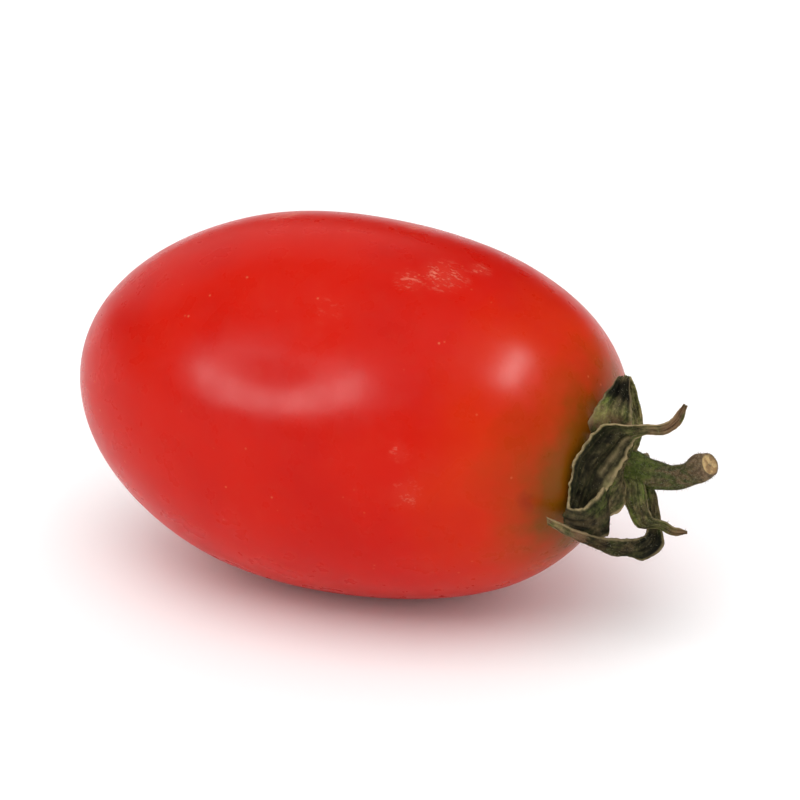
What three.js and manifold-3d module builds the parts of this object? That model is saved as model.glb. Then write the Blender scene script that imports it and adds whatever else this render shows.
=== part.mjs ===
// A small plum tomato as picked, lying on its side: the fruit, its dried calyx and its stem stub.
// Millimetres, +Z up. The origin is the middle of the flat spot that the fruit rests on, and +X runs
// along the fruit towards its stem end.
import * as THREE from "three";
import { mergeVertices } from "three/addons/utils/BufferGeometryUtils.js";
import Module from "manifold-3d";

const wasm = await Module();
wasm.setup();

// The fruit: a long round body, blunter at the stem end than at the blossom end
const FRUIT_LENGTH = 42.8;
const FRUIT_WIDTH = 28.4;
const STEM_END_SQUARENESS = 2.3;
const BLOSSOM_END_SQUARENESS = 1.98;
const RINGS = 34;
const RING_SIDES = 48;

// Three soft lobes, strongest on the stem end's shoulders, where the seed chambers press the wall out
const LOBES = 3;
const LOBE_HEIGHT = 0.16;
const LOBE_TURN = -0.1;
const SHOULDER_LOBE_HEIGHT = 0.2;

// A shallow dent in one side, placed along the axis and by the angle round it, steeper below than above
const DENT_DEPTH = 0.65;
const DENT_ALONG = -1.2;
const DENT_ANGLE = 2.49;
const DENT_LENGTH = 4.5;
const DENT_UPPER_WIDTH = 6;
const DENT_LOWER_WIDTH = 3.3;

// The rest spot is where the round underside is pressed flat
const REST_DEPTH = 0.15;

// The stem end's hollow, a little off the fruit's own axis, and the blossom end's small dimple
const STEM_SIDE = -0.8;
const STEM_UP = -0.6;
const HOLLOW_DEPTH = 0.6;
const HOLLOW_WIDTH = 2.6;
const BLOSSOM_DIMPLE_DEPTH = 0.22;
const BLOSSOM_DIMPLE_WIDTH = 1.1;

// The stalk's root stands in a plain hole in the hollow
const ROOT_RADIUS = 0.8;
const ROOT_DEPTH = 1.1;
const ROOT_CLEARANCE = 0.08;
const SEAT_GAP = 0.06;

// The calyx: a low collar round the stalk that the sepals spring from
const COLLAR_RADIUS = 1.55;
const COLLAR_HEIGHT = 1.9;
const SEPAL_THICKNESS = 0.6;
const STEPS_PER_PLACE = 2;
const ACROSS_SHARES = [-1, -0.5, 0, 0.5, 1];

// Edges shorter than this are left by the joins and are closed up
const SLIVER = 0.01;

// The stem stub, from the root to the joint where it came off the plant
const STEM_STEPS = 18;
const STEM_SIDES = 12;

const HALF_LENGTH = FRUIT_LENGTH / 2;
const HALF_WIDTH = FRUIT_WIDTH / 2;
const AXIS_HEIGHT = HALF_WIDTH - REST_DEPTH;
const STEM_SEAT = new THREE.Vector3(HALF_LENGTH - HOLLOW_DEPTH, STEM_SIDE, AXIS_HEIGHT + STEM_UP);

// Each sepal is a list of places from root to tip, and a place is [middle, edge, cup]. The middle is
// [out along the stem, across, up] from the bottom of the stem end's hollow, the edge is the step from
// there to one rim, and the cup is how deep the blade is hollowed below its two rims, on one face or,
// where it is negative, on the other.
const SEPALS = [
  // Front: it leaves the collar forward and down, then folds back into a boat with its tip forward
  [
    [[1.5, -0.6, -0.4], [-0.1, 0.3, 1.2], 0],
    [[1.8, -2.45, -1.0], [-0.5, 0.45, 1.35], -0.1],
    [[1.3, -3.45, -1.6], [-0.15, 0.3, 1.45], -0.2],
    [[1.25, -4.1, -2.4], [-0.35, 0, 1.75], -0.25],
    [[0.5, -5.85, -2.5], [-0.2, 0.05, 1.2], -0.3],
    [[-0.6, -6.5, -2.2], [0.0, 0.3, 0.9], -0.3],
    [[-0.4, -5.2, -1.7], [-0.4, -0.8, 1.3], -0.3],
    [[0.2, -4.9, -0.2], [-0.9, -1.2, 0.9], -0.7],
    [[0.6, -4.5, 1.2], [-1.1, -1.1, 1.1], -0.9],
    [[1.3, -4.0, 2.6], [-1.2, -0.7, 1.0], -0.8],
    [[2.1, -3.8, 3.9], [-1.0, -0.3, 0.8], -0.5],
    [[3.2, -3.9, 4.4], [-0.3, 0, 0.5], -0.15],
    [[4.4, -4.1, 4.9], [-0.1, 0, 0.4], 0],
    [[5.6, -3.8, 5.0], [-0.1, 0, 0.4], 0],
    [[6.5, -3.6, 5.7], [-0.25, 0, 0.3], 0],
    [[7.1, -3.3, 7.0], [-0.35, 0, 0.15], 0],
  ],
  // Upper: it stands up and then hangs forward
  [
    [[1.5, 0, 0.5], [0.4, 0.5, -0.1], 0],
    [[2.2, 0.1, 2.8], [0.35, 0.45, -0.2], 0.1],
    [[1.9, 0.2, 4.7], [0.3, 0.4, -0.2], 0.1],
    [[1.6, 0, 6.3], [0.25, 0.3, -0.1], 0],
    [[1.4, -0.5, 7.0], [0.4, 0.2, 0], -0.15],
    [[1.4, -1.4, 6.4], [0.75, 0.1, -0.1], -0.6],
    [[1.35, -2.35, 5.2], [1.3, 0.1, -0.2], 0.35],
    [[1.15, -2.7, 4.4], [1.55, 0.3, 0], 0.3],
    [[0.8, -2.8, 3.4], [1.5, 0.3, 0], 0.2],
  ],
  // Lower: it hangs down and is then folded back along the fruit
  [
    [[1.6, 0, -0.6], [0.3, 0.5, -0.1], 0],
    [[3.0, 0, -1.5], [0.3, 0.5, -0.1], 0.1],
    [[3.7, -0.5, -3.0], [0.3, 0.5, -0.1], 0.1],
    [[4.2, -1.3, -4.2], [0.3, 0.5, -0.3], -0.2],
    [[4.4, -2.0, -5.1], [0.5, 0.5, -0.6], -0.6],
    [[3.7, -2.8, -5.5], [0.2, 0.2, -0.9], -0.3],
    [[2.9, -3.7, -5.1], [0, 0.2, -0.8], 0.2],
    [[2.1, -4.7, -4.7], [-0.1, 0.2, -0.8], 0.2],
    [[1.3, -6.2, -3.8], [0, 0.2, -0.6], 0.1],
    [[0.2, -7.4, -2.8], [0, 0.2, -0.5], 0.1],
    [[-1.5, -8.6, -1.45], [0, 0.1, -0.45], 0],
  ],
  // Thin: it reaches down past the stem and out
  [
    [[1.6, -0.5, -0.6], [0.6, 0.3, 0], 0],
    [[2.6, -1.3, -1.1], [0.7, 0.3, 0], 0.1],
    [[2.9, -1.9, -2.0], [0.8, 0.4, -0.1], 0.2],
    [[3.3, -2.0, -3.0], [0.7, 0.3, 0.1], 0.2],
    [[3.75, -1.9, -3.75], [0.6, 0.25, 0.35], 0.1],
    [[4.8, -1.5, -3.9], [0.2, 0.1, 0.3], 0],
    [[5.6, -1.2, -4.4], [0.1, 0.1, 0.3], 0],
    [[6.6, -0.8, -4.5], [0, 0.1, 0.3], 0],
  ],
  // Far: it is curled up short on the hidden side
  [
    [[1.5, 0.4, -0.3], [0.3, 0.1, 0.6], 0],
    [[1.8, 1.8, -0.9], [0.3, 0.3, 0.7], 0.1],
    [[1.5, 3.2, -1.7], [0.4, 0.5, 0.7], 0.3],
    [[1.2, 4.2, -2.8], [0.5, 0.7, 0.3], 0.4],
    [[1.3, 4.4, -4.0], [0.6, 0.6, -0.1], 0.3],
    [[1.8, 3.9, -5.0], [0.5, 0.3, -0.2], 0.1],
    [[2.5, 3.2, -5.4], [0.3, 0.2, -0.1], 0],
  ],
];

// The stub's middle line in the same measure, and its radius from root to joint
const STEM_LINE = [[-1.1, 0, 0], [0.4, 0, 0], [1.6, 0, -0.3], [3.0, 0, -0.6], [4.2, 0, -0.7],
  [5.3, 0, -0.6], [6.4, -0.2, -0.1], [7.4, -0.4, 0.7], [8.1, -0.6, 1.2]];
const STEM_RADIUS = [[0, 0.8], [0.16, 0.8], [0.3, 1.25], [0.45, 1.05], [0.65, 0.9], [0.8, 0.88], [0.92, 1.05],
  [1, 0.9]];

const vector = ([x, y, z]) => new THREE.Vector3(x, y, z);

const fromSeat = (point) => vector(point).add(STEM_SEAT);

// A closed geometry as a solid that can be joined and cut
function solidOf(geometry) {
  const bare = geometry.index ? geometry.toNonIndexed() : geometry.clone();
  bare.deleteAttribute("normal");
  bare.deleteAttribute("uv");
  const merged = mergeVertices(bare, 1e-4);
  return new wasm.Manifold(
    new wasm.Mesh({
      numProp: 3,
      vertProperties: merged.attributes.position.array,
      triVerts: new Uint32Array(merged.index.array),
    }),
  );
}

function geometryOf(solid) {
  const mesh = solid.getMesh();
  const geometry = new THREE.BufferGeometry();
  geometry.setAttribute("position", new THREE.BufferAttribute(new Float32Array(mesh.vertProperties), 3));
  geometry.setIndex(new THREE.BufferAttribute(new Uint32Array(mesh.triVerts), 1));
  const faceted = geometry.toNonIndexed();
  faceted.computeVertexNormals();
  return faceted;
}

// Reads a list of [place, value] pairs at a place from 0 to 1, easing between them
function readAlong(pairs, place) {
  for (let i = 1; i < pairs.length; i++) {
    const [start, from] = pairs[i - 1];
    const [end, to] = pairs[i];
    if (place <= end) return from + (to - from) * THREE.MathUtils.smoothstep(place, start, end);
  }
  return pairs[pairs.length - 1][1];
}

// The fruit's outline from blossom end to stem end, as radius and place along the axis
function fruitOutline(extra) {
  const outline = [];
  for (let i = 0; i <= RINGS; i++) {
    const turn = (Math.PI * i) / RINGS;
    const squareness = THREE.MathUtils.lerp(
      BLOSSOM_END_SQUARENESS, STEM_END_SQUARENESS, THREE.MathUtils.smoothstep(i, RINGS * 0.2, RINGS * 0.8));
    const power = 2 / squareness;
    const along = -Math.sign(Math.cos(turn)) * Math.abs(Math.cos(turn)) ** power * (HALF_LENGTH + extra);
    const atPole = i === 0 || i === RINGS;
    outline.push(new THREE.Vector2(atPole ? 0 : Math.sin(turn) ** power * (HALF_WIDTH + extra), along));
  }
  return outline;
}

// How far the three lobes lift the skin, at a place along the axis and an angle round it
function lobeLift(along, angle, radius) {
  const share = along / HALF_LENGTH;
  const shoulder = Math.exp(-(((share - 0.72) / 0.2) ** 2));
  const wave = Math.cos(LOBES * (angle + LOBE_TURN));
  return (LOBE_HEIGHT + SHOULDER_LOBE_HEIGHT * shoulder) * wave * (radius / HALF_WIDTH) ** 2;
}

// How far the dent sinks the skin
function dentDrop(along, angle) {
  const turned = Math.atan2(Math.sin(angle - DENT_ANGLE), Math.cos(angle - DENT_ANGLE));
  const round = (turned * HALF_WIDTH) / (turned < 0 ? DENT_UPPER_WIDTH : DENT_LOWER_WIDTH);
  return DENT_DEPTH * Math.exp(-(((along - DENT_ALONG) / DENT_LENGTH) ** 2) - round ** 2);
}

function fruitSolid(extra) {
  const lathe = new THREE.LatheGeometry(fruitOutline(extra), RING_SIDES);
  lathe.rotateZ(-Math.PI / 2);
  const place = lathe.attributes.position;
  for (let i = 0; i < place.count; i++) {
    const point = new THREE.Vector3().fromBufferAttribute(place, i);
    const radius = Math.hypot(point.y, point.z);
    const angle = Math.atan2(point.z, point.y);
    const lift = lobeLift(point.x, angle, radius) - dentDrop(point.x, angle);
    const wider = radius > 0 ? (radius + lift) / radius : 1;
    point.y *= wider;
    point.z *= wider;
    if (point.x > 0) {
      const away = Math.hypot(point.y - STEM_SIDE, point.z - STEM_UP);
      point.x -= HOLLOW_DEPTH * Math.exp(-((away / HOLLOW_WIDTH) ** 2));
    } else {
      point.x += BLOSSOM_DIMPLE_DEPTH * Math.exp(-((radius / BLOSSOM_DIMPLE_WIDTH) ** 2));
    }
    place.setXYZ(i, point.x, point.y, point.z + AXIS_HEIGHT);
  }
  return solidOf(lathe);
}

// A tube of varying radius along a curve, closed at both ends
function tubeSolid(curve, radiusAt, steps, sides) {
  const frames = curve.computeFrenetFrames(steps, false);
  const points = [];
  for (let i = 0; i <= steps; i++) {
    const middle = curve.getPointAt(i / steps);
    for (let j = 0; j < sides; j++) {
      const turn = (2 * Math.PI * j) / sides;
      const spoke = frames.normals[i].clone().multiplyScalar(Math.cos(turn));
      spoke.addScaledVector(frames.binormals[i], Math.sin(turn));
      points.push(middle.clone().addScaledVector(spoke, radiusAt(i / steps)));
    }
  }
  const first = points.push(curve.getPointAt(0)) - 1;
  const last = points.push(curve.getPointAt(1)) - 1;
  const faces = [];
  for (let j = 0; j < sides; j++) {
    const next = (j + 1) % sides;
    faces.push(first, next, j);
    faces.push(last, steps * sides + j, steps * sides + next);
    for (let i = 0; i < steps; i++) {
      const row = i * sides;
      faces.push(row + j, row + next, row + sides + next);
      faces.push(row + j, row + sides + next, row + sides + j);
    }
  }
  return solidOf(facesOf(points, faces));
}

function facesOf(points, faces) {
  const geometry = new THREE.BufferGeometry().setFromPoints(points);
  geometry.setIndex(faces);
  return geometry;
}

// One cross section of a sepal: its two faces' points, from rim to rim
function sepalSection(middles, edges, cups, place) {
  const middle = middles.getPoint(place);
  const edge = edges.getPoint(place);
  const face = new THREE.Vector3().crossVectors(edge, middles.getTangent(place)).normalize();
  const cup = cups.getPoint(place).x;
  const section = [];
  for (const side of [0.5, -0.5])
    for (const share of ACROSS_SHARES) {
      const point = middle.clone().addScaledVector(edge, share);
      point.addScaledVector(face, side * SEPAL_THICKNESS - cup * (1 - share * share));
      section.push(point);
    }
  return section;
}

// A sepal is a thin blade that bends along its length and cups across its width. It is joined from one
// short slab for each step, so that a tight fold never crosses itself.
function sepalSolid(places) {
  const curveOf = (points) => new THREE.CatmullRomCurve3(points, false, "centripetal");
  const middles = curveOf(places.map(([middle]) => fromSeat(middle)));
  const edges = curveOf(places.map(([, edge]) => vector(edge)));
  const cups = curveOf(places.map(([, , cup], i) => new THREE.Vector3(cup, i, 0)));
  const steps = (places.length - 1) * STEPS_PER_PLACE;
  const slabs = [];
  for (let i = 0; i < steps; i++) {
    const start = sepalSection(middles, edges, cups, i / steps);
    const end = sepalSection(middles, edges, cups, (i + 1) / steps);
    slabs.push(solidOf(facesOf([...start, ...end], SLAB_FACES)));
  }
  return wasm.Manifold.union(slabs);
}

// Both faces of a slab are split along the same diagonals, so that they never cross
function slabFaces(across) {
  const next = 2 * across;
  const faces = [];
  const square = (a, b, c, d) => faces.push(a, b, c, a, c, d);
  for (let j = 0; j < across - 1; j++) {
    const under = j + across;
    faces.push(j, j + 1, next + j + 1, j, next + j + 1, next + j);
    faces.push(under, next + under + 1, under + 1, under, next + under, next + under + 1);
    square(j, under, under + 1, j + 1);
    square(next + j, next + j + 1, next + under + 1, next + under);
  }
  const rim = across - 1;
  square(0, next, next + across, across);
  square(rim, rim + across, next + rim + across, next + rim);
  return faces;
}

const SLAB_FACES = slabFaces(ACROSS_SHARES.length);

// The collar is a low dome round the stalk, standing in the stem end's hollow
function collarSolid() {
  const profile = [[0, -0.6], [1.1, -0.6], [COLLAR_RADIUS, 0.1], [COLLAR_RADIUS, 0.9],
    [1.3, COLLAR_HEIGHT - 0.3], [1.0, COLLAR_HEIGHT], [0, COLLAR_HEIGHT]];
  const lathe = new THREE.LatheGeometry(profile.map(([r, h]) => new THREE.Vector2(r, h)), 16);
  lathe.rotateZ(-Math.PI / 2);
  lathe.translate(STEM_SEAT.x, STEM_SEAT.y, STEM_SEAT.z);
  return solidOf(lathe);
}

function stemSolid(extra) {
  const line = new THREE.CatmullRomCurve3(STEM_LINE.map(fromSeat), false, "centripetal");
  return tubeSolid(line, (place) => readAlong(STEM_RADIUS, place) + extra, STEM_STEPS, STEM_SIDES);
}

// Everything under the plane that the tomato rests on
function floorBlock() {
  const size = 2 * FRUIT_LENGTH;
  const block = new THREE.BoxGeometry(size, size, size);
  block.translate(0, 0, -size / 2);
  return solidOf(block);
}

function rootHole() {
  const hole = new THREE.CylinderGeometry(
    ROOT_RADIUS + ROOT_CLEARANCE, ROOT_RADIUS + ROOT_CLEARANCE, 2 * (ROOT_DEPTH + ROOT_CLEARANCE), 16);
  hole.rotateZ(Math.PI / 2);
  hole.translate(STEM_SEAT.x, STEM_SEAT.y, STEM_SEAT.z);
  return solidOf(hole);
}

// Small voids that are shut in where the folded sepals touch are filled
function filled(solid) {
  return wasm.Manifold.union(solid.decompose().filter((shell) => shell.volume() > 0));
}

const fruit = fruitSolid(0).subtract(floorBlock()).subtract(rootHole());
const stem = stemSolid(0);
const joined = filled(wasm.Manifold.union([collarSolid(), ...SEPALS.map(sepalSolid)]));
const calyx = filled(joined.subtract(stemSolid(SEAT_GAP)).subtract(fruitSolid(SEAT_GAP)).simplify(SLIVER));

// Colours and finishes
const SKIN = { color: 0xd3261a, roughness: 0.28, metalness: 0 };
const SEPAL = { color: 0x4a4a33, roughness: 0.8, metalness: 0 };
const STEM = { color: 0x5a5a3a, roughness: 0.75, metalness: 0 };

function named(name, solid, finish) {
  const mesh = new THREE.Mesh(geometryOf(solid), new THREE.MeshStandardMaterial(finish));
  mesh.name = name;
  return mesh;
}

const tomato = new THREE.Group();
tomato.add(named("fruit", fruit, SKIN));
tomato.add(named("calyx", calyx, SEPAL));
tomato.add(named("stem", stem, STEM));

export default tomato;
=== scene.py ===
"""A small plum tomato as picked, lying on its side, with its dried calyx and its stem stub."""

import math

import bpy
import numpy as np
from mathutils import Matrix, Vector, noise


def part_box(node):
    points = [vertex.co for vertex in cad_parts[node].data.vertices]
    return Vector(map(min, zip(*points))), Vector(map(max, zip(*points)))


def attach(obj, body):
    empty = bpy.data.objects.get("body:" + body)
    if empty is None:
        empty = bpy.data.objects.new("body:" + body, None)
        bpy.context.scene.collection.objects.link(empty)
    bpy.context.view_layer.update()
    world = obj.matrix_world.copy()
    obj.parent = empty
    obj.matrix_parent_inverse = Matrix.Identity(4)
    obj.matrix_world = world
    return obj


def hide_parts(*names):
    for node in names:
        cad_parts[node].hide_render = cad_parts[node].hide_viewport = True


MM = 0.001

# The camera, by its bearing and height round the fruit, in degrees and metres
VIEW_AZIMUTH = 22.6
VIEW_ELEVATION = 25.0
VIEW_DISTANCE = 0.42
VIEW_WIDTH = 0.060
AIM_RIGHT = 0.0037

# The fruit, in millimetres, as in the solid's own source
FRUIT_LENGTH = 42.8
FRUIT_WIDTH = 28.4
STEM_END_SQUARENESS = 2.3
BLOSSOM_END_SQUARENESS = 1.98
SQUARENESS_START = 0.2
SQUARENESS_END = 0.8
LOBES = 3
LOBE_HEIGHT = 0.16
LOBE_TURN = -0.1
SHOULDER_LOBE_HEIGHT = 0.2
SHOULDER_PLACE = 0.72
SHOULDER_REACH = 0.2
DENT_DEPTH = 0.65
DENT_ALONG = -1.2
DENT_ANGLE = 2.49
DENT_LENGTH = 4.5
DENT_UPPER_WIDTH = 6
DENT_LOWER_WIDTH = 3.3
REST_DEPTH = 0.15
STEM_SIDE = -0.8
STEM_UP = -0.6
HOLLOW_DEPTH = 0.6
HOLLOW_WIDTH = 2.6
BLOSSOM_DIMPLE_DEPTH = 0.22
BLOSSOM_DIMPLE_WIDTH = 1.1

HALF_LENGTH = FRUIT_LENGTH / 2
HALF_WIDTH = FRUIT_WIDTH / 2
AXIS_HEIGHT = HALF_WIDTH - REST_DEPTH
SEAT = np.array([HALF_LENGTH - HOLLOW_DEPTH, STEM_SIDE, AXIS_HEIGHT + STEM_UP])
BLOSSOM_END = (-HALF_LENGTH + BLOSSOM_DIMPLE_DEPTH, 0, AXIS_HEIGHT)

# The fine skin: how many rings and how many points round each, and its slight unevenness
SKIN_RINGS = 240
SKIN_SIDES = 300
WAVE_HEIGHT = 0.05
WAVE_LENGTH = 6.0
REST_ROUNDING = 0.05


def on_skin(along, angle):
    """A place on the fruit, by its place along the axis and its angle round it."""
    radius = HALF_WIDTH * math.sqrt(1 - min(abs(along) / HALF_LENGTH, 1) ** 2)
    return (along, radius * math.cos(angle), AXIS_HEIGHT + radius * math.sin(angle))


# Scuffs, each a place on the skin, a radius and how strong it is, and the place of one small dark red
# patch of painted shade just below the calyx
SCUFFS = [
    (on_skin(8.6, 1.80), 2.4, 0.7),
    (on_skin(6.6, 1.92), 1.6, 0.5),
    (on_skin(10.4, 1.62), 1.3, 0.6),
    (on_skin(-6.3, 1.38), 2.6, 0.9),
    (on_skin(3.7, 1.28), 1.8, 0.9),
    (on_skin(1.8, 2.20), 1.6, 0.15),
    (on_skin(9.0, 2.90), 1.1, 0.35),
    (on_skin(9.6, 3.15), 1.6, 0.35),
    (on_skin(-9.0, -1.9), 2.2, 0.6),
    (on_skin(5.0, -0.6), 2.0, 0.8),
    (on_skin(-3.0, 0.3), 1.6, 0.6),
]
CALYX_SHADE_PLACE = on_skin(17.3, -3.03)
GREEN_SHIFT = np.array([0.3, -1.7, -0.6])

# The sepals, as in the solid's source: each place is [middle, edge, cup] from the stem end's hollow
SEPALS = {
    "front": [
        ((1.5, -0.6, -0.4), (-0.1, 0.3, 1.2), 0),
        ((1.8, -2.45, -1.0), (-0.5, 0.45, 1.35), -0.1),
        ((1.3, -3.45, -1.6), (-0.15, 0.3, 1.45), -0.2),
        ((1.25, -4.1, -2.4), (-0.35, 0, 1.75), -0.25),
        ((0.5, -5.85, -2.5), (-0.2, 0.05, 1.2), -0.3),
        ((-0.6, -6.5, -2.2), (0.0, 0.3, 0.9), -0.3),
        ((-0.4, -5.2, -1.7), (-0.4, -0.8, 1.3), -0.3),
        ((0.2, -4.9, -0.2), (-0.9, -1.2, 0.9), -0.7),
        ((0.6, -4.5, 1.2), (-1.1, -1.1, 1.1), -0.9),
        ((1.3, -4.0, 2.6), (-1.2, -0.7, 1.0), -0.8),
        ((2.1, -3.8, 3.9), (-1.0, -0.3, 0.8), -0.5),
        ((3.2, -3.9, 4.4), (-0.3, 0, 0.5), -0.15),
        ((4.4, -4.1, 4.9), (-0.1, 0, 0.4), 0),
        ((5.6, -3.8, 5.0), (-0.1, 0, 0.4), 0),
        ((6.5, -3.6, 5.7), (-0.25, 0, 0.3), 0),
        ((7.1, -3.3, 7.0), (-0.35, 0, 0.15), 0),
    ],
    "upper": [
        ((1.5, 0, 0.5), (0.4, 0.5, -0.1), 0),
        ((2.2, 0.1, 2.8), (0.35, 0.45, -0.2), 0.1),
        ((1.9, 0.2, 4.7), (0.3, 0.4, -0.2), 0.1),
        ((1.6, 0, 6.3), (0.25, 0.3, -0.1), 0),
        ((1.4, -0.5, 7.0), (0.4, 0.2, 0), -0.15),
        ((1.4, -1.4, 6.4), (0.75, 0.1, -0.1), -0.6),
        ((1.35, -2.35, 5.2), (1.3, 0.1, -0.2), 0.35),
        ((1.15, -2.7, 4.4), (1.55, 0.3, 0), 0.3),
        ((0.8, -2.8, 3.4), (1.5, 0.3, 0), 0.2),
    ],
    "lower": [
        ((1.6, 0, -0.6), (0.3, 0.5, -0.1), 0),
        ((3.0, 0, -1.5), (0.3, 0.5, -0.1), 0.1),
        ((3.7, -0.5, -3.0), (0.3, 0.5, -0.1), 0.1),
        ((4.2, -1.3, -4.2), (0.3, 0.5, -0.3), -0.2),
        ((4.4, -2.0, -5.1), (0.5, 0.5, -0.6), -0.6),
        ((3.7, -2.8, -5.5), (0.2, 0.2, -0.9), -0.3),
        ((2.9, -3.7, -5.1), (0, 0.2, -0.8), 0.2),
        ((2.1, -4.7, -4.7), (-0.1, 0.2, -0.8), 0.2),
        ((1.3, -6.2, -3.8), (0, 0.2, -0.6), 0.1),
        ((0.2, -7.4, -2.8), (0, 0.2, -0.5), 0.1),
        ((-1.5, -8.6, -1.45), (0, 0.1, -0.45), 0),
    ],
    "thin": [
        ((1.6, -0.5, -0.6), (0.6, 0.3, 0), 0),
        ((2.6, -1.3, -1.1), (0.7, 0.3, 0), 0.1),
        ((2.9, -1.9, -2.0), (0.8, 0.4, -0.1), 0.2),
        ((3.3, -2.0, -3.0), (0.7, 0.3, 0.1), 0.2),
        ((3.75, -1.9, -3.75), (0.6, 0.25, 0.35), 0.1),
        ((4.8, -1.5, -3.9), (0.2, 0.1, 0.3), 0),
        ((5.6, -1.2, -4.4), (0.1, 0.1, 0.3), 0),
        ((6.6, -0.8, -4.5), (0, 0.1, 0.3), 0),
    ],
    "far": [
        ((1.5, 0.4, -0.3), (0.3, 0.1, 0.6), 0),
        ((1.8, 1.8, -0.9), (0.3, 0.3, 0.7), 0.1),
        ((1.5, 3.2, -1.7), (0.4, 0.5, 0.7), 0.3),
        ((1.2, 4.2, -2.8), (0.5, 0.7, 0.3), 0.4),
        ((1.3, 4.4, -4.0), (0.6, 0.6, -0.1), 0.3),
        ((1.8, 3.9, -5.0), (0.5, 0.3, -0.2), 0.1),
        ((2.5, 3.2, -5.4), (0.3, 0.2, -0.1), 0),
    ],
}

# The fine sepals: rows for each place and columns from rim to rim, and a dried leaf's relief
ROWS_PER_PLACE = 14
COLUMNS = 33
LEAF_THICKNESS = 0.24
RIM_THICKNESS = 0.17
MIDRIB_HEIGHT = 0.12
MIDRIB_WIDTH = 0.16
VEIN_HEIGHT = 0.06
RIDGE_PLACES = (-0.52, -0.26, 0.3, 0.56)
RIDGE_WIDTH = 0.05
RIDGE_DRIFT = 0.12
ROLL_PLACE = -0.62
ROLL_WIDTH = 0.16
ROLL_HEIGHT = 0.3
WRINKLE_HEIGHT = 0.10
FOLD_HEIGHT = 0.2
RIM_WAVE = 0.14
RIM_BROAD_UNEVENNESS = 0.10
RIM_FINE_UNEVENNESS = 0.06
SIDE_VEIN_STRENGTH = 0.4
SIDE_VEIN_SPACING = 3.2
SIDE_VEIN_SLANT = 1.8
ROLL_BAND = ((6.5, 7.5), (10.5, 11.5))
RIM_BAND = (0.80, 0.97)
HEM_BAND = ((5, 6), (7.5, 9))
HEM_EDGE = (0.62, 0.85)
INNER_LINE_BAND = ((7.5, 8.5), (11, 12))
TIP_SHARE = 0.7
TIP_NARROWING = {"front": 0.5, "upper": 0.2, "lower": 0.3, "thin": 0.65, "far": 0.65}
PALE_RIMMED = "front"
FAINT_RIM = 0.5
# The cup depth at which the painted shade inside a sepal's hollow is at its darkest
FULL_SHADE_CUP = 0.45
HEM_PALENESS = 0.6
INNER_LINE_PLACE = -0.5
INNER_LINE_WIDTH = 0.06

# How light each sepal's skin is painted along its blade, partly its own tone and partly painted light
# and shade where a part is turned towards or away from the lamps, as (share of its length, tone)
PAINTED_LIGHT_AND_TONES = {
    "front": [(0, 0.9), (0.1, 0.9), (0.17, 0.42), (0.34, 0.42), (0.43, 1), (1, 1)],
    "upper": [
        (0, 2), (0.45, 2), (0.58, 0.45), (0.67, 0.45), (0.76, 1.15), (0.85, 1.1), (0.93, 0.6), (1, 0.5),
    ],
    "lower": [(0, 0.8), (0.35, 0.8), (0.6, 0.42), (0.86, 0.38), (1, 1.6)],
    "thin": [(0, 0.85), (1, 0.85)],
    "far": [(0, 0.85), (1, 0.85)],
}

# The collar and the stem stub, as in the solid's source
COLLAR = [(0, -0.6), (1.1, -0.6), (1.55, 0.1), (1.55, 0.9), (1.3, 1.6), (1.0, 1.9), (0, 1.9)]
COLLAR_ROWS = 60
COLLAR_SIDES = 96
COLLAR_RIDGES = 5
COLLAR_RIDGE_HEIGHT = 0.07
COLLAR_TURN = 0.6
COLLAR_ROUGHNESS = 0.04
STEM_LINE = [
    (-1.1, 0, 0), (0.4, 0, 0), (1.6, 0, -0.3), (3.0, 0, -0.6), (4.2, 0, -0.7),
    (5.3, 0, -0.6), (6.4, -0.2, -0.1), (7.4, -0.4, 0.7), (8.1, -0.6, 1.2),
]
STEM_RADIUS = [
    (0, 0.8), (0.16, 0.8), (0.3, 1.25), (0.45, 1.05), (0.65, 0.9), (0.8, 0.88), (0.92, 1.05), (1, 0.9),
]
STEM_ROWS = 220
STEM_SIDES = 96
STEM_RIDGES = 7
STEM_RIDGE_HEIGHT = 0.06
STEM_RIDGE_TWIST = 2.5
STEM_ROUGHNESS = 0.05
STEM_STEPS = 600
RIDGES_FADE = (0.85, 0.98)
SCAR_RINGS = 14
SCAR_LIP = 0.10
SCAR_DISH = 0.12

# The fine hairs
HAIR_SEED = 7
HAIR_RADIUS = 0.014
HAIR_LENGTH = 0.34
HAIR_LEAN = 0.35
HAIR_BEND = 0.08
HAIR_ROOT_DEPTH = 0.03
SEPAL_HAIRS = 260
STEM_HAIRS = 1100

# The stage, in metres, and how bright the pale world is
FLOOR_REACH = 3.0
WORLD_STRENGTH = 0.90

# Strip lights, each a name, its two ends' directions from the fruit as [right, up, back] of the view,
# its distance and width in metres, and its power. One lights the fruit, the others are only reflected.
LIGHTS = [
    ("key", (0.46, 0.31, 0.83), (0.62, 0.68, 0.40), 1.5, 0.24, 24.0),
    ("left", (-0.92, 0.11, 0.38), (-0.38, 0.20, 0.90), 1.5, 0.48, 27.0),
    ("haze", (-0.75, 0.40, -0.53), (0.10, 0.93, -0.35), 1.5, 1.2, 4.0),
    ("fill", (-0.6, 0.70, 0.6), (0.4, 0.70, 0.75), 2.5, 2.4, 32.0),
]
LIGHTING = "fill"

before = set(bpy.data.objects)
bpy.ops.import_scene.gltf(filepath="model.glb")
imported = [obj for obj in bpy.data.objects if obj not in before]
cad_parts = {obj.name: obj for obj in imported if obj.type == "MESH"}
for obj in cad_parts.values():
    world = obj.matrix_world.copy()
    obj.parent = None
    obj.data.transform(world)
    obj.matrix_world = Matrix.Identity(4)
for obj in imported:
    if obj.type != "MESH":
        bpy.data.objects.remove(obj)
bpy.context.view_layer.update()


# Curves and small helpers


def unit(vectors):
    """Vectors of length one, for one vector or rows of them."""
    return vectors / np.linalg.norm(vectors, axis=-1, keepdims=True)


def smoothstep(low, high, x):
    share = np.clip((x - low) / (high - low), 0, 1)
    return share * share * (3 - 2 * share)


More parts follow.
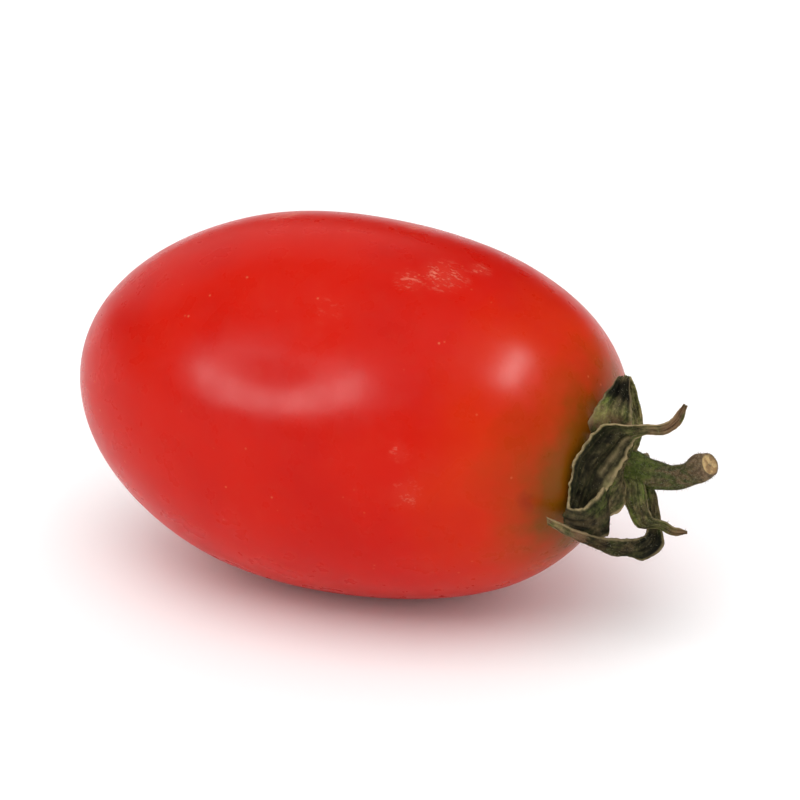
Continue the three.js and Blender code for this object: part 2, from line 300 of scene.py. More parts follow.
def read_along(pairs, place):
    """Reads (place, value) pairs at a place from 0 to 1, easing between them."""
    for (start, before), (end, after) in zip(pairs, pairs[1:]):
        if place <= end:
            return before + (after - before) * float(smoothstep(start, end, place))
    return pairs[-1][1]


def within(band, place):
    """Eases from 0 to 1 over the band's first pair of places and back to 0 over its second."""
    rise, fall = band
    return float(smoothstep(*rise, place) * (1 - smoothstep(*fall, place)))


def hump(x, middle, width):
    """A smooth hump, 1 at the middle."""
    return np.exp(-(((x - middle) / width) ** 2))


def curve_through(points, place):
    """A centripetal Catmull-Rom curve, read at a place counted in points from the first."""
    points = np.asarray(points, float)
    last = len(points) - 1
    before = min(int(place), last - 1)
    share = place - before
    inner = points[before], points[before + 1]
    first = points[before - 1] if before > 0 else 2 * points[0] - points[1]
    final = points[before + 2] if before + 2 <= last else 2 * points[last] - points[last - 1]
    gaps = [
        max(math.sqrt(np.linalg.norm(b - a)), 1e-4)
        for a, b in ((first, inner[0]), inner, (inner[1], final))
    ]
    leave = (inner[0] - first) / gaps[0] - (inner[1] - first) / (gaps[0] + gaps[1])
    leave = (leave + (inner[1] - inner[0]) / gaps[1]) * gaps[1]
    arrive = (inner[1] - inner[0]) / gaps[1] - (final - inner[0]) / (gaps[1] + gaps[2])
    arrive = (arrive + (final - inner[1]) / gaps[2]) * gaps[1]
    square = -3 * inner[0] + 3 * inner[1] - 2 * leave - arrive
    cube = 2 * inner[0] - 2 * inner[1] + leave + arrive
    return inner[0] + leave * share + square * share**2 + cube * share**3


def curve_direction(points, place):
    step = 1e-3
    low, high = max(place - step, 0), min(place + step, len(points) - 1)
    return unit(curve_through(points, high) - curve_through(points, low))


def wander(x, y, z, seed):
    """Smooth noise from -1 to 1."""
    return noise.noise(Vector((x + 17.3 * seed, y - 5.1 * seed, z + 3.7 * seed)))


def new_piece(name, points, faces, material, replaced):
    """A smooth-shaded mesh from points in millimetres, which rides the body and stands for a node."""
    mesh = bpy.data.meshes.new(name)
    mesh.from_pydata([tuple(p) for p in np.asarray(points) * MM], [], faces)
    mesh.polygons.foreach_set("use_smooth", [True] * len(mesh.polygons))
    mesh.update()
    piece = bpy.data.objects.new(name, mesh)
    bpy.context.collection.objects.link(piece)
    piece.data.materials.append(material)
    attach(piece, "root")
    if replaced:
        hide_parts(replaced)
    return piece


def paint(piece, name, values):
    """Stores a number for each point of a piece, which its material reads by name."""
    layer = piece.data.attributes.new(name, "FLOAT", "POINT")
    layer.data.foreach_set("value", np.asarray(values, dtype=np.float32))


def grid_faces(rows, columns, closed):
    """The four-sided faces of a grid of points. A closed one joins its last column to its first."""
    faces = []
    for i in range(rows - 1):
        for j in range(columns if closed else columns - 1):
            k = (j + 1) % columns
            here, above = i * columns, (i + 1) * columns
            faces.append((here + j, here + k, above + k, above + j))
    return faces


# Materials


class Painter:
    """Builds one material's node tree with little wording."""

    def __init__(self, name):
        self.material = bpy.data.materials.new(name)
        self.material.use_nodes = True
        self.tree = self.material.node_tree
        self.tree.nodes.clear()
        self.shader = self.node("ShaderNodeBsdfPrincipled")
        output = self.node("ShaderNodeOutputMaterial")
        self.tree.links.new(self.shader.outputs["BSDF"], output.inputs["Surface"])
        place = self.node("ShaderNodeTexCoord").outputs["Object"]
        scaled = self.node("ShaderNodeVectorMath", {"operation": "SCALE"}, Vector=place, Scale=1 / MM)
        self.place = scaled.outputs["Vector"]

    def node(self, kind, settings=None, **inputs):
        """A node with its settings, and its inputs by name: plain values or other nodes' outputs."""
        made = self.tree.nodes.new(kind)
        for key, value in (settings or {}).items():
            setattr(made, key, value)
        for key, value in inputs.items():
            self.feed(made, key.replace("_", " "), value)
        return made

    def feed(self, node, socket, value):
        numbered = socket[0] == "n" and socket[1:].isdigit()
        target = node.inputs[int(socket[1:]) if numbered else socket]
        if isinstance(value, bpy.types.NodeSocket):
            self.tree.links.new(value, target)
        else:
            target.default_value = value

    def set(self, **inputs):
        for key, value in inputs.items():
            self.feed(self.shader, key.replace("_", " "), value)

    def math(self, operation, a, b=0.0, clamp=False):
        made = self.node("ShaderNodeMath", {"operation": operation, "use_clamp": clamp}, n0=a, n1=b)
        return made.outputs[0]

    def band(self, value, low, high, start=0.0, end=1.0):
        """Eases from start to end as value goes from low to high."""
        made = self.node(
            "ShaderNodeMapRange", {"interpolation_type": "SMOOTHSTEP"},
            Value=value, From_Min=low, From_Max=high, To_Min=start, To_Max=end,
        )
        return made.outputs["Result"]

    def noise(self, scale, detail=2.0, roughness=0.5, place=None, distortion=0.0):
        made = self.node(
            "ShaderNodeTexNoise", Vector=place or self.place, Scale=scale, Detail=detail,
            Roughness=roughness, Distortion=distortion,
        )
        return made.outputs["Fac"]

    def spots(self, scale, low, high, place=None):
        """Small round spots: 1 at each spot's middle and 0 outside."""
        made = self.node("ShaderNodeTexVoronoi", Vector=place or self.place, Scale=scale)
        return self.band(made.outputs["Distance"], low, high, 1.0, 0.0)

    def stretched(self, x, y, z):
        """The place in millimetres, scaled differently along each axis."""
        made = self.node("ShaderNodeMapping", Vector=self.place, Scale=(x, y, z))
        return made.outputs["Vector"]

    def joined(self, x, y, z):
        """A place made of three numbers."""
        return self.node("ShaderNodeCombineXYZ", X=x, Y=y, Z=z).outputs["Vector"]

    def distance(self, point):
        settings = {"operation": "DISTANCE"}
        made = self.node("ShaderNodeVectorMath", settings, n0=self.place, n1=tuple(point))
        return made.outputs["Value"]

    def attribute(self, name):
        return self.node("ShaderNodeAttribute", {"attribute_name": name}).outputs["Fac"]

    def blend(self, share, a, b, kind="MIX"):
        made = self.node("ShaderNodeMix", {"data_type": "RGBA", "blend_type": kind}, n0=share)
        self.feed(made, "n6", a)
        self.feed(made, "n7", b)
        return made.outputs[2]

    def ramp(self, value, stops):
        """A colour ramp from (place, colour) stops."""
        made = self.node("ShaderNodeValToRGB", Fac=value)
        ramp = made.color_ramp
        while len(ramp.elements) < len(stops):
            ramp.elements.new(0.5)
        for element, (place, colour) in zip(ramp.elements, stops):
            element.position = place
            element.color = colour
        return made.outputs["Color"]

    def bump(self, height, strength, distance, under=None):
        made = self.node("ShaderNodeBump", Height=height, Strength=strength, Distance=distance)
        if under is not None:
            self.feed(made, "Normal", under)
        return made.outputs["Normal"]


def rgb(red, green, blue):
    return (red, green, blue, 1.0)


RIPE_RED = rgb(0.55, 0.008, 0.001)
DEEP_RED = rgb(0.48, 0.004, 0.001)
ORANGE_RED = rgb(0.56, 0.022, 0.001)
ORANGE = rgb(0.40, 0.036, 0.001)
OLIVE = rgb(0.17, 0.052, 0.001)
GREEN_OLIVE = rgb(0.13, 0.070, 0.002)
SPECK = rgb(0.72, 0.20, 0.09)
SCUFF = rgb(0.80, 0.24, 0.15)
CALYX_SHADE_RED = rgb(0.22, 0.012, 0.002)
BLOSSOM_SCAR = rgb(0.15, 0.07, 0.03)

# How the colour changes with the distance from the stem, as a share of the distance where it is all red
RIPENING = [(0.17, GREEN_OLIVE), (0.29, OLIVE), (0.41, ORANGE), (0.57, ORANGE_RED), (0.82, RIPE_RED)]
RED_DISTANCE = 20.0
RIPENING_DRIFT = 6.0
MOTTLE_STRENGTH = 0.6
CLOUD_STRENGTH = 0.018
SPECK_STRENGTH = 0.5
SCUFF_HAZE = 0.10
SCRATCH_STRENGTH = 0.8
SKIN_ROUGHNESS = (0.26, 0.33)
SCRATCH_ROUGHNESS = 0.2
GRAIN_HEIGHT = 0.04 * MM
SCRATCH_HEIGHT = 0.06 * MM


def skin_material():
    """Ripe skin: red, orange at the shoulder, olive close to the stem, with specks and scuffs."""
    m = Painter("tomato_skin")
    drift = m.math("MULTIPLY", m.math("SUBTRACT", m.noise(0.25, 4.0, 0.6), 0.5), RIPENING_DRIFT)
    reach = m.math("ADD", m.distance(SEAT + GREEN_SHIFT), drift)
    share = m.math("DIVIDE", reach, RED_DISTANCE, clamp=True)
    colour = m.ramp(share, RIPENING)
    mottle = m.band(m.noise(0.10, 4.0, 0.55), 0.42, 0.66)
    mottle = m.math("MULTIPLY", m.math("MULTIPLY", mottle, share), MOTTLE_STRENGTH)
    colour = m.blend(mottle, colour, DEEP_RED)
    cloud = m.band(m.noise(0.8, 4.0, 0.6), 0.45, 0.75)
    colour = m.blend(m.math("MULTIPLY", cloud, CLOUD_STRENGTH), colour, SPECK)
    specks = m.math("MULTIPLY", m.spots(0.75, 0.03, 0.10), m.band(m.noise(0.3), 0.45, 0.62))
    colour = m.blend(m.math("MULTIPLY", specks, SPECK_STRENGTH), colour, SPECK)
    scratch = m.band(m.noise(1.7, 5.0, 0.75, m.stretched(0.7, 1.6, 1.6)), 0.54, 0.60)
    scuffs = 0.0
    for place, size, strength in SCUFFS:
        patch = m.band(m.distance(place), 0.2 * size, size, strength, 0.0)
        scuffs = m.math("MAXIMUM", scuffs, patch)
    scuffed = m.math("MULTIPLY", scratch, scuffs)
    colour = m.blend(m.math("MULTIPLY", scuffs, SCUFF_HAZE), colour, SCUFF)
    colour = m.blend(m.math("MULTIPLY", scuffed, SCRATCH_STRENGTH), colour, SCUFF)
    # Painted shade: a blotchy dark red patch on the skin just below the calyx
    calyx_shade = m.band(m.distance(CALYX_SHADE_PLACE), 0.3, 1.6, 0.7, 0.0)
    colour = m.blend(m.math("MULTIPLY", calyx_shade, m.band(m.noise(0.9, 3.0), 0.42, 0.58)), colour, CALYX_SHADE_RED)
    dried = m.band(m.noise(1.5, 3.0), 0.3, 0.55, 0.6, 1.0)
    scar = m.band(m.distance(BLOSSOM_END), 0.3, 0.9, 0.85, 0.0)
    colour = m.blend(m.math("MULTIPLY", scar, dried), colour, BLOSSOM_SCAR)
    m.set(Base_Color=colour, IOR=1.2)
    waxy = m.band(m.noise(0.5, 4.0), 0.3, 0.7, *SKIN_ROUGHNESS)
    m.set(Roughness=m.math("ADD", waxy, m.math("MULTIPLY", scuffed, SCRATCH_ROUGHNESS)))
    m.set(Subsurface_Weight=0.12, Subsurface_Radius=(1.0, 0.12, 0.05), Subsurface_Scale=0.0015)
    grain = m.bump(m.noise(1.8, 3.0, 0.5), 0.12, GRAIN_HEIGHT)
    m.set(Normal=m.bump(scuffed, 0.5, SCRATCH_HEIGHT, grain))
    return m.material


DRY_GREEN = rgb(0.062, 0.064, 0.020)
DRY_BROWN = rgb(0.100, 0.075, 0.034)
FRESH_GREEN = rgb(0.075, 0.100, 0.018)
HOLLOW_SHADE_COLOUR = rgb(0.008, 0.009, 0.003)
PALE_RIM = rgb(0.33, 0.25, 0.13)
PALE_VEIN = rgb(0.115, 0.085, 0.045)
TIP_BROWN = rgb(0.25, 0.135, 0.075)
BLADE_STRETCH = 0.3
LEAF_ROUGH_HEIGHT = 0.10 * MM
LEAF_STREAK_HEIGHT = 0.12 * MM


def leaf_material():
    """A dried sepal: olive green and brown, with shade painted darker inside its hollow, and pale dry
    rims and veins.
    """
    m = Painter("dried_sepal")
    rim = m.attribute("rim")
    # inner: the painted shade inside each cup's hollow
    inner = m.attribute("inner")
    vein = m.attribute("vein")
    stretched = m.math("MULTIPLY", m.attribute("length"), BLADE_STRETCH)
    blade = m.joined(m.attribute("across"), stretched, m.attribute("blade"))
    patch = m.band(m.noise(0.6, 5.0, 0.65), 0.42, 0.60)
    colour = m.blend(patch, DRY_GREEN, DRY_BROWN)
    green = m.band(m.noise(0.35, 3.0, 0.6), 0.48, 0.64)
    colour = m.blend(m.math("MULTIPLY", green, 0.7), colour, FRESH_GREEN)
    # Painted shade: the hollow side of each cup is darkened towards a near-black colour, and veins show
    # less there
    colour = m.blend(m.math("MULTIPLY", inner, 0.95, clamp=True), colour, HOLLOW_SHADE_COLOUR)
    shown = m.math("SUBTRACT", 0.5, m.math("MULTIPLY", inner, 0.25))
    colour = m.blend(m.math("MULTIPLY", vein, shown), colour, PALE_VEIN)
    streak = m.band(m.noise(3.2, 4.0, 0.6, blade), 0.34, 0.66, 0.45, 1.6)
    colour = m.blend(1.0, colour, streak, "MULTIPLY")
    shade = m.band(m.noise(2.4, 5.0, 0.7), 0.32, 0.68, 0.65, 1.5)
    colour = m.blend(1.0, colour, shade, "MULTIPLY")
    # Painted light and shade, partly the leaf's own tone: each sepal made lighter or darker along its
    # blade
    colour = m.blend(1.0, colour, m.attribute("light_and_tone"), "MULTIPLY")
    tip = m.band(m.attribute("along"), 0.72, 0.95)
    tip = m.math("MULTIPLY", tip, m.band(m.noise(0.9, 4.0), 0.35, 0.55))
    colour = m.blend(m.math("MULTIPLY", tip, 0.7), colour, TIP_BROWN)
    pale = m.math("MULTIPLY", rim, m.band(m.noise(1.1, 4.0, 0.65), 0.32, 0.58, 0.35, 1.0))
    colour = m.blend(pale, colour, PALE_RIM)
    m.set(Base_Color=colour, Roughness=0.7, IOR=1.15)
    rough = m.bump(m.noise(4.5, 5.0, 0.75), 0.6, LEAF_ROUGH_HEIGHT)
    m.set(Normal=m.bump(m.noise(5.0, 3.0, 0.6, blade), 0.8, LEAF_STREAK_HEIGHT, rough))
    return m.material


STALK_GREEN = rgb(0.060, 0.066, 0.022)
STALK_BROWN = rgb(0.120, 0.085, 0.045)
STALK_TIP = rgb(0.155, 0.100, 0.060)
SCAR_TAN = rgb(0.58, 0.41, 0.19)
SCAR_BROWN = rgb(0.33, 0.20, 0.09)
STALK_ROUGH_HEIGHT = 0.12 * MM


def stem_material():
    """A dried stalk: grey-green and brown along its ridges, and a pale tan scar at its end."""
    m = Painter("dried_stem")
    scar = m.attribute("scar")
    along = m.attribute("along")
    streak = m.band(m.noise(1.8, 5.0, 0.65, m.stretched(0.3, 1, 1)), 0.42, 0.60)
    colour = m.blend(streak, STALK_GREEN, STALK_BROWN)
    green = m.band(along, 0.35, 0.75, 1.0, 0.0)
    green = m.math("MULTIPLY", green, m.band(m.noise(0.7, 3.0), 0.38, 0.56))
    colour = m.blend(m.math("MULTIPLY", green, 0.75), colour, FRESH_GREEN)
    brown = m.band(along, 0.78, 0.98)
    colour = m.blend(m.math("MULTIPLY", brown, 0.75), colour, STALK_TIP)
    shade = m.band(m.noise(3.0, 5.0, 0.75), 0.38, 0.64, 0.6, 1.5)
    colour = m.blend(1.0, colour, shade, "MULTIPLY")
    tan = m.blend(m.band(m.noise(2.2, 4.0), 0.42, 0.62), SCAR_TAN, SCAR_BROWN)
    colour = m.blend(scar, colour, tan)
    m.set(Base_Color=colour, Roughness=0.7, IOR=1.15)
    m.set(Normal=m.bump(m.noise(5.0, 5.0, 0.75), 0.8, STALK_ROUGH_HEIGHT))
    return m.material


def hair_material():
    """The fine pale hairs on stalk and sepals."""
    m = Painter("plant_hair")
    colour = m.blend(m.noise(1.5, 2.0), rgb(0.12, 0.12, 0.07), rgb(0.26, 0.23, 0.15))
    m.set(Base_Color=colour, Roughness=0.6, IOR=1.4)
    return m.material


# The fruit


def fruit_outline(turn):
    """Radius and place along the axis at each turn from the blossom end to the stem end."""
    easing = smoothstep(SQUARENESS_START, SQUARENESS_END, turn / math.pi)
    power = 2 / (BLOSSOM_END_SQUARENESS + (STEM_END_SQUARENESS - BLOSSOM_END_SQUARENESS) * easing)
    along = -np.sign(np.cos(turn)) * np.abs(np.cos(turn)) ** power * HALF_LENGTH
    radius = np.clip(np.sin(turn), 0, None) ** power * HALF_WIDTH
    return radius, along


def make_fruit(material):
    turns = np.linspace(0, math.pi, SKIN_RINGS)
    angles = np.linspace(0, 2 * math.pi, SKIN_SIDES, endpoint=False)
    radius, along = fruit_outline(turns)
    radius, along = radius[1:-1, None], along[1:-1, None]
    angle = np.broadcast_to(angles, (SKIN_RINGS - 2, SKIN_SIDES))
    shoulder = np.exp(-(((along / HALF_LENGTH - SHOULDER_PLACE) / SHOULDER_REACH) ** 2))
    wave = np.cos(LOBES * (angle + LOBE_TURN))
    lift = (LOBE_HEIGHT + SHOULDER_LOBE_HEIGHT * shoulder) * wave * (radius / HALF_WIDTH) ** 2
    turned = np.arctan2(np.sin(angle - DENT_ANGLE), np.cos(angle - DENT_ANGLE))
    dent_width = np.where(turned < 0, DENT_UPPER_WIDTH, DENT_LOWER_WIDTH)
    dent = ((along - DENT_ALONG) / DENT_LENGTH) ** 2 + (turned * HALF_WIDTH / dent_width) ** 2
    lift = lift - DENT_DEPTH * np.exp(-dent)
    x = np.broadcast_to(along, angle.shape).copy()
    y = (radius + lift) * np.cos(angle)
    z = (radius + lift) * np.sin(angle)
    uneven = np.array([
        wander(px / WAVE_LENGTH, py / WAVE_LENGTH, pz / WAVE_LENGTH, 1)
        for px, py, pz in zip(x.ravel(), y.ravel(), z.ravel())
    ]).reshape(x.shape)
    swell = 1 + WAVE_HEIGHT * uneven / HALF_WIDTH
    y, z = y * swell, z * swell
    away = np.hypot(y - STEM_SIDE, z - STEM_UP)
    round_axis = np.hypot(y, z)
    x = np.where(
        x > 0,
        x - HOLLOW_DEPTH * np.exp(-((away / HOLLOW_WIDTH) ** 2)),
        x + BLOSSOM_DIMPLE_DEPTH * np.exp(-((round_axis / BLOSSOM_DIMPLE_WIDTH) ** 2)),
    )
    z = z + AXIS_HEIGHT
    z = (z + np.sqrt(z * z + REST_ROUNDING**2)) / 2
    points = np.stack([x, y, z], axis=-1).reshape(-1, 3)
    pole = math.exp(-((math.hypot(STEM_SIDE, STEM_UP) / HOLLOW_WIDTH) ** 2))
    ends = [
        BLOSSOM_END,
        (HALF_LENGTH - HOLLOW_DEPTH * pole, 0, AXIS_HEIGHT),
    ]
    points = np.vstack([points, ends])
    faces = [face[::-1] for face in grid_faces(SKIN_RINGS - 2, SKIN_SIDES, True)]
    first, last = len(points) - 2, len(points) - 1
    top = (SKIN_RINGS - 3) * SKIN_SIDES
    for j in range(SKIN_SIDES):
        k = (j + 1) % SKIN_SIDES
        faces.append((first, k, j))
        faces.append((last, top + j, top + k))
    return new_piece("fruit_skin", points, faces, material, "fruit")


# The calyx


def sepal_piece(name, places, material, seed):
    """A thin dried blade that follows the solid's middle line, rims and hollow."""
    middles = [middle for middle, _, _ in places]
    edges = [edge for _, edge, _ in places]
    cups = [(cup, i, 0) for i, (_, _, cup) in enumerate(places)]
    last = len(places) - 1
    rows = last * ROWS_PER_PLACE + 1
    across = np.linspace(-1, 1, COLUMNS)
    rim = np.abs(across)
    tops, unders, rims, vein_rows = [], [], [], []
    alongs, light_and_tones, lengths = [], [], []
    length = 0.0
    before = None
    for i in range(rows):
        place = i / ROWS_PER_PLACE
        middle = curve_through(middles, place)
        length += 0 if before is None else float(np.linalg.norm(middle - before))
        before = middle
        edge = curve_through(edges, place)
        cup = curve_through(cups, place)[0]
        face = unit(np.cross(edge, curve_direction(middles, place)))
        narrowing = TIP_NARROWING[name]
        close = 1 - float(smoothstep(last - TIP_SHARE, last, place)) * narrowing
        uneven = RIM_BROAD_UNEVENNESS * wander(length * 1.3, 0, 0, seed)
        uneven = 1 + (uneven + RIM_FINE_UNEVENNESS * wander(length * 4, 0, 5, seed)) * rim**2
        points = middle + np.outer(across * uneven * close, edge)
        points = points - np.outer(cup * (1 - across**2), face)
        ripple = np.array([wander(length * 1.1, a * 0.8, 4.0, seed + 1) for a in across])
        lift = RIM_WAVE * ripple * rim**2
        crease = np.array([wander(length * 1.2, a * 5.0, 9.0, seed + 2) for a in across])
        fold = np.array([wander(length * 0.22, a * 3.6, 2.0, seed + 3) for a in across])
        lift = lift + (WRINKLE_HEIGHT * crease + FOLD_HEIGHT * fold) * (1 - rim**3)
        slanted = np.abs(np.sin(SIDE_VEIN_SPACING * (length - SIDE_VEIN_SLANT * rim)))
        veins = SIDE_VEIN_STRENGTH * slanted**6 * np.sin(math.pi * rim)
        rib = hump(across, 0, MIDRIB_WIDTH)
        for ridge_place in RIDGE_PLACES:
            drift = ridge_place + RIDGE_DRIFT * wander(length * 0.5, ridge_place * 9, 3.0, seed)
            veins = np.maximum(veins, hump(across, drift, RIDGE_WIDTH))
        roll = 0 * across
        pale = smoothstep(*RIM_BAND, rim) * (1 if name == PALE_RIMMED else FAINT_RIM)
        if name == PALE_RIMMED:
            roll = within(ROLL_BAND, place) * hump(across, ROLL_PLACE, ROLL_WIDTH)
            hem = within(HEM_BAND, place) * smoothstep(*HEM_EDGE, -across)
            line = within(INNER_LINE_BAND, place) * hump(across, INNER_LINE_PLACE, INNER_LINE_WIDTH)
            pale = np.maximum(pale, HEM_PALENESS * np.maximum(hem, line))
        half = (LEAF_THICKNESS + (RIM_THICKNESS - LEAF_THICKNESS) * rim**3) / 2 * close
        raised = MIDRIB_HEIGHT * rib + VEIN_HEIGHT * veins + ROLL_HEIGHT * roll
        tops.append(points + np.outer(lift + half - 0.5 * raised, face))
        unders.append(points + np.outer(lift - half - raised, face))
        rims.append(pale)
        vein_rows.append(np.clip(0.8 * rib + 0.8 * veins + 1.2 * roll, 0, 1) * (1 - rim**4))
        alongs.append(i / (rows - 1))
        light_and_tones.append(read_along(PAINTED_LIGHT_AND_TONES[name], i / (rows - 1)))
        lengths.append(length)
    loops = [np.vstack([top, under[::-1]]) for top, under in zip(tops, unders)]
    around = 2 * COLUMNS
    points = np.vstack(loops)
    faces = grid_faces(rows, around, True)
    faces.append(tuple(range(around))[::-1])
    faces.append(tuple(range((rows - 1) * around, rows * around)))
    piece = new_piece(f"sepal_{name}", points + SEAT, faces, material, "calyx")
    # Painted shade for the material: the hollow side of each cup, fading out at the pale rim
    hollow_shades = []
    for i, pale in enumerate(rims):
        hollow = np.clip(curve_through(cups, i / ROWS_PER_PLACE)[0] / FULL_SHADE_CUP, -1, 1)
        hollow_shades += [max(hollow, 0) * (1 - pale), max(-hollow, 0) * (1 - pale[::-1])]
    paint(piece, "inner", np.concatenate(hollow_shades))
    paint(piece, "rim", np.concatenate([np.concatenate([row, row[::-1]]) for row in rims]))
    paint(piece, "vein", np.concatenate([np.concatenate([row, row[::-1]]) for row in vein_rows]))
    paint(piece, "across", np.tile(np.concatenate([across, across[::-1]]), rows))
    paint(piece, "blade", np.full(rows * around, float(seed)))
    for attribute, values in (("along", alongs), ("light_and_tone", light_and_tones), ("length", lengths)):
        paint(piece, attribute, np.repeat(values, around))
    return piece


def make_collar(material):
    """The low ridged collar that the sepals spring from."""
    rows, sides = COLLAR_ROWS, COLLAR_SIDES
    profile = [(r, h, 0) for r, h in COLLAR]
    points = []
    for i in range(rows):
        radius, height, _ = curve_through(profile, i / (rows - 1) * (len(COLLAR) - 1))
        for j in range(sides):
            angle = 2 * math.pi * j / sides
            ridge = COLLAR_RIDGE_HEIGHT * math.sin(COLLAR_RIDGES * angle + COLLAR_TURN)
            rough = COLLAR_ROUGHNESS * wander(math.cos(angle) * 3, math.sin(angle) * 3, height, 8)
            reach = max(radius, 0.0) * (1 + ridge + rough)
            points.append((height, reach * math.cos(angle), reach * math.sin(angle)))
    faces = grid_faces(rows, sides, True)
    piece = new_piece("calyx_collar", np.array(points) + SEAT, faces, material, "calyx")
    count = len(points)
    for name in ("rim", "inner", "along", "vein", "blade"):
        paint(piece, name, np.zeros(count))
    paint(piece, "light_and_tone", np.ones(count))
    paint(piece, "across", [2 * math.sin(3 * math.atan2(z, y)) for _, y, z in points])
    paint(piece, "length", [x for x, _, _ in points])
    return piece


# The stem


def make_stem(material):
    """The bent stub with fine ridges along it, a swollen joint and a dished scar at its end."""
    last = len(STEM_LINE) - 1
    dense = [curve_through(STEM_LINE, last * i / STEM_STEPS) for i in range(STEM_STEPS + 1)]
    lengths = np.concatenate([[0], np.cumsum(np.linalg.norm(np.diff(dense, axis=0), axis=1))])
    points, scar, alongs = [], [], []
    side = np.array([0.0, 1.0, 0.0])

    def ring(middle, direction, radius, share, dish=0.0):
        nonlocal side
        side = unit(side - direction * side.dot(direction))
        other = np.cross(direction, side)
        ridge_height = STEM_RIDGE_HEIGHT * (1 - 0.8 * float(smoothstep(*RIDGES_FADE, share)))
        for j in range(STEM_SIDES):
            turn = 2 * math.pi * j / STEM_SIDES
            ridge = ridge_height * math.cos(STEM_RIDGES * turn + STEM_RIDGE_TWIST * share)
            rough = STEM_ROUGHNESS * wander(math.cos(turn) * 1.6, math.sin(turn) * 1.6, share * 7, 3)
            reach = radius * (1 + (ridge + rough) * min(1.0, radius))
            spoke = side * math.cos(turn) + other * math.sin(turn)
            points.append(middle + spoke * reach + direction * dish)

    for i in range(STEM_ROWS):
        share = i / (STEM_ROWS - 1)
        place = np.interp(share * lengths[-1], lengths, np.linspace(0, last, STEM_STEPS + 1))
        middle = curve_through(STEM_LINE, place)
        ring(middle, curve_direction(STEM_LINE, place), read_along(STEM_RADIUS, share), share)
        scar += [0.0] * STEM_SIDES
        alongs += [share] * STEM_SIDES
    end = np.array(STEM_LINE[-1], float)
    direction = curve_direction(STEM_LINE, last)
    rim = STEM_RADIUS[-1][1]
    for step in np.linspace(0.06, 1, SCAR_RINGS):
        dish = SCAR_LIP * math.sin(min(step * 5, 1) * math.pi) - SCAR_DISH * step * (1 - 0.5 * step)
        ring(end, direction, rim * max(1 - step, 0.001), 1.0, dish)
        scar += [float(smoothstep(0.08, 0.25, step))] * STEM_SIDES
        alongs += [1.0] * STEM_SIDES
    faces = grid_faces(STEM_ROWS + SCAR_RINGS, STEM_SIDES, True)
    faces.append(tuple(range(STEM_SIDES))[::-1])
    piece = new_piece("stem_stub", np.array(points) + SEAT, faces, material, "stem")
    paint(piece, "scar", scar)
    paint(piece, "along", alongs)
    return piece


# The hairs


def make_hairs(pieces, material):
    """Short fine hairs, each a thin three-sided spike, scattered over the sepals and the stub."""
    chance = np.random.default_rng(HAIR_SEED)
    points, faces = [], []
    for piece, count in pieces:
        places = [np.array(v.co) / MM for v in piece.data.vertices]
        normals = [np.array(v.normal) for v in piece.data.vertices]
        for index in chance.integers(0, len(places), count):
            lean = unit(normals[index] + HAIR_LEAN * chance.normal(size=3))
            side = unit(np.cross(lean, chance.normal(size=3)))
            other = np.cross(lean, side)
            root = places[index] - HAIR_ROOT_DEPTH * lean
            start = len(points)
            for turn in (0, 2 * math.pi / 3, 4 * math.pi / 3):
                points.append(root + HAIR_RADIUS * (side * math.cos(turn) + other * math.sin(turn)))
            bend = HAIR_BEND * side * chance.random()
            points.append(root + lean * HAIR_LENGTH * (0.4 + 0.6 * chance.random()) + bend)
            faces += [(start + 1, start, start + 2)]
            faces += [(start + k, start + (k + 1) % 3, start + 3) for k in range(3)]
    return new_piece("fine_hairs", points, faces, material, None)


# The stage, lights and camera


def make_floor():
    corners = [(x * FLOOR_REACH, y * FLOOR_REACH, 0) for x, y in ((-1, -1), (1, -1), (1, 1), (-1, 1))]
    mesh = bpy.data.meshes.new("floor")
    mesh.from_pydata(corners, [], [(0, 1, 2, 3)])
    floor = bpy.data.objects.new("floor", mesh)
    bpy.context.collection.objects.link(floor)
    m = Painter("white_table")
    m.set(Base_Color=rgb(0.96, 0.96, 0.96), Roughness=0.6)
    m.set(Specular_IOR_Level=0.2)
    floor.data.materials.append(m.material)


def softbox(name, start, end, distance, width, power):
    """A soft strip light that faces the fruit, between two directions from it."""
    start, end = start.normalized(), end.normalized()
    out = (start + end).normalized()
    along = (end - start - out * out.dot(end - start)).normalized()
    data = bpy.data.lights.new(name, "AREA")
    data.shape = "RECTANGLE"
    data.size = width
    data.size_y = distance * (end - start).length
    data.energy = power
    lamp = bpy.data.objects.new(name, data)
    bpy.context.collection.objects.link(lamp)
    turn = Matrix((along.cross(out), along, out)).transposed()
    lamp.matrix_world = Matrix.Translation(fruit_middle + out * distance) @ turn.to_4x4()
    return lamp


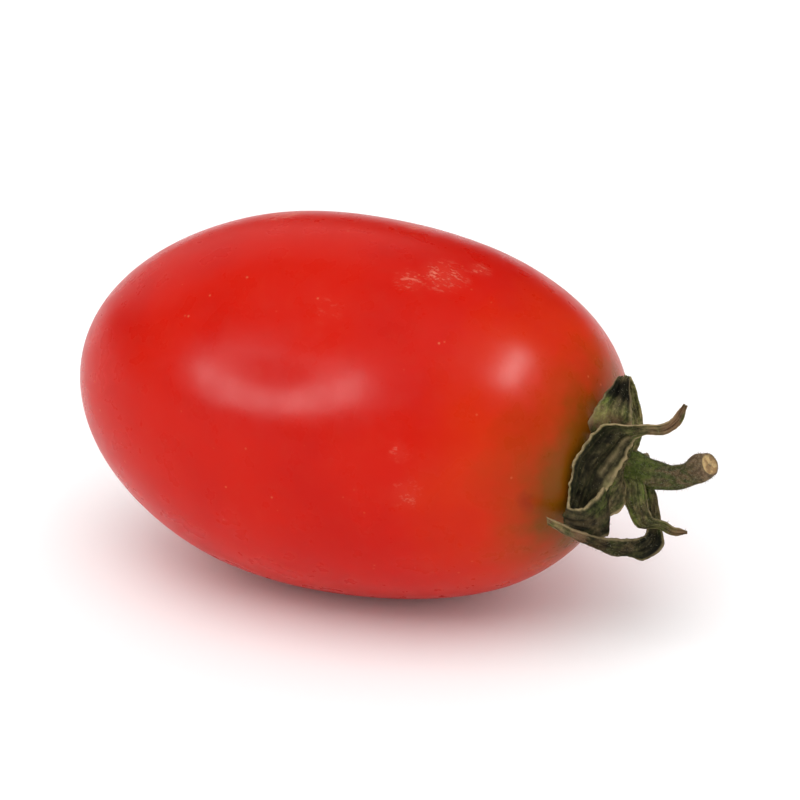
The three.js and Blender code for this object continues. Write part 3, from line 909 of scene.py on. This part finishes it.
def view_axes(azimuth, elevation):
    """The camera's right, up and back directions, as a view from that bearing and height has them."""
    a, e = math.radians(azimuth), math.radians(elevation)
    right = Vector((math.cos(a), math.sin(a), 0))
    back = Vector((math.sin(a) * math.cos(e), -math.cos(a) * math.cos(e), math.sin(e)))
    return right, back.cross(right), back


def make_camera():
    right, _, back = view_axes(VIEW_AZIMUTH, VIEW_ELEVATION)
    data = bpy.data.cameras.new("camera")
    camera = bpy.data.objects.new("camera", data)
    bpy.context.collection.objects.link(camera)
    camera.location = fruit_middle + back * VIEW_DISTANCE
    aim = fruit_middle + right * AIM_RIGHT
    camera.rotation_mode = "QUATERNION"
    camera.rotation_quaternion = (camera.location - aim).to_track_quat("Z", "Y")
    data.lens = data.sensor_width * VIEW_DISTANCE / VIEW_WIDTH
    data.clip_start, data.clip_end = 0.01, 20
    bpy.context.scene.camera = camera


def make_lights():
    right, up, back = view_axes(VIEW_AZIMUTH, VIEW_ELEVATION)
    for name, start, end, distance, width, power in LIGHTS:
        start, end = (right * x + up * y + back * z for x, y, z in (start, end))
        lamp = softbox(name, start, end, distance, width, power)
        lamp.visible_diffuse = name == LIGHTING
        lamp.visible_glossy = name != LIGHTING
    world = bpy.data.worlds.new("studio")
    world.use_nodes = True
    world.node_tree.nodes["Background"].inputs["Color"].default_value = rgb(1, 1, 1)
    world.node_tree.nodes["Background"].inputs["Strength"].default_value = WORLD_STRENGTH
    bpy.context.scene.world = world
    world.cycles_visibility.glossy = False
    bpy.context.scene.view_settings.view_transform = "Standard"


low, high = (Vector(corner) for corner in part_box("fruit"))
fruit_middle = Vector(((low.x + high.x) / 2, (low.y + high.y) / 2, (low.z + high.z) / 2))

make_fruit(skin_material())
leaf = leaf_material()
leaves = [
    sepal_piece(sepal_name, sepal_places, leaf, 10 * index + 1)
    for index, (sepal_name, sepal_places) in enumerate(SEPALS.items())
]
leaves.append(make_collar(leaf))
stub = make_stem(stem_material())
make_hairs([(piece, SEPAL_HAIRS) for piece in leaves] + [(stub, STEM_HAIRS)], hair_material())
make_floor()
make_lights()
make_camera()
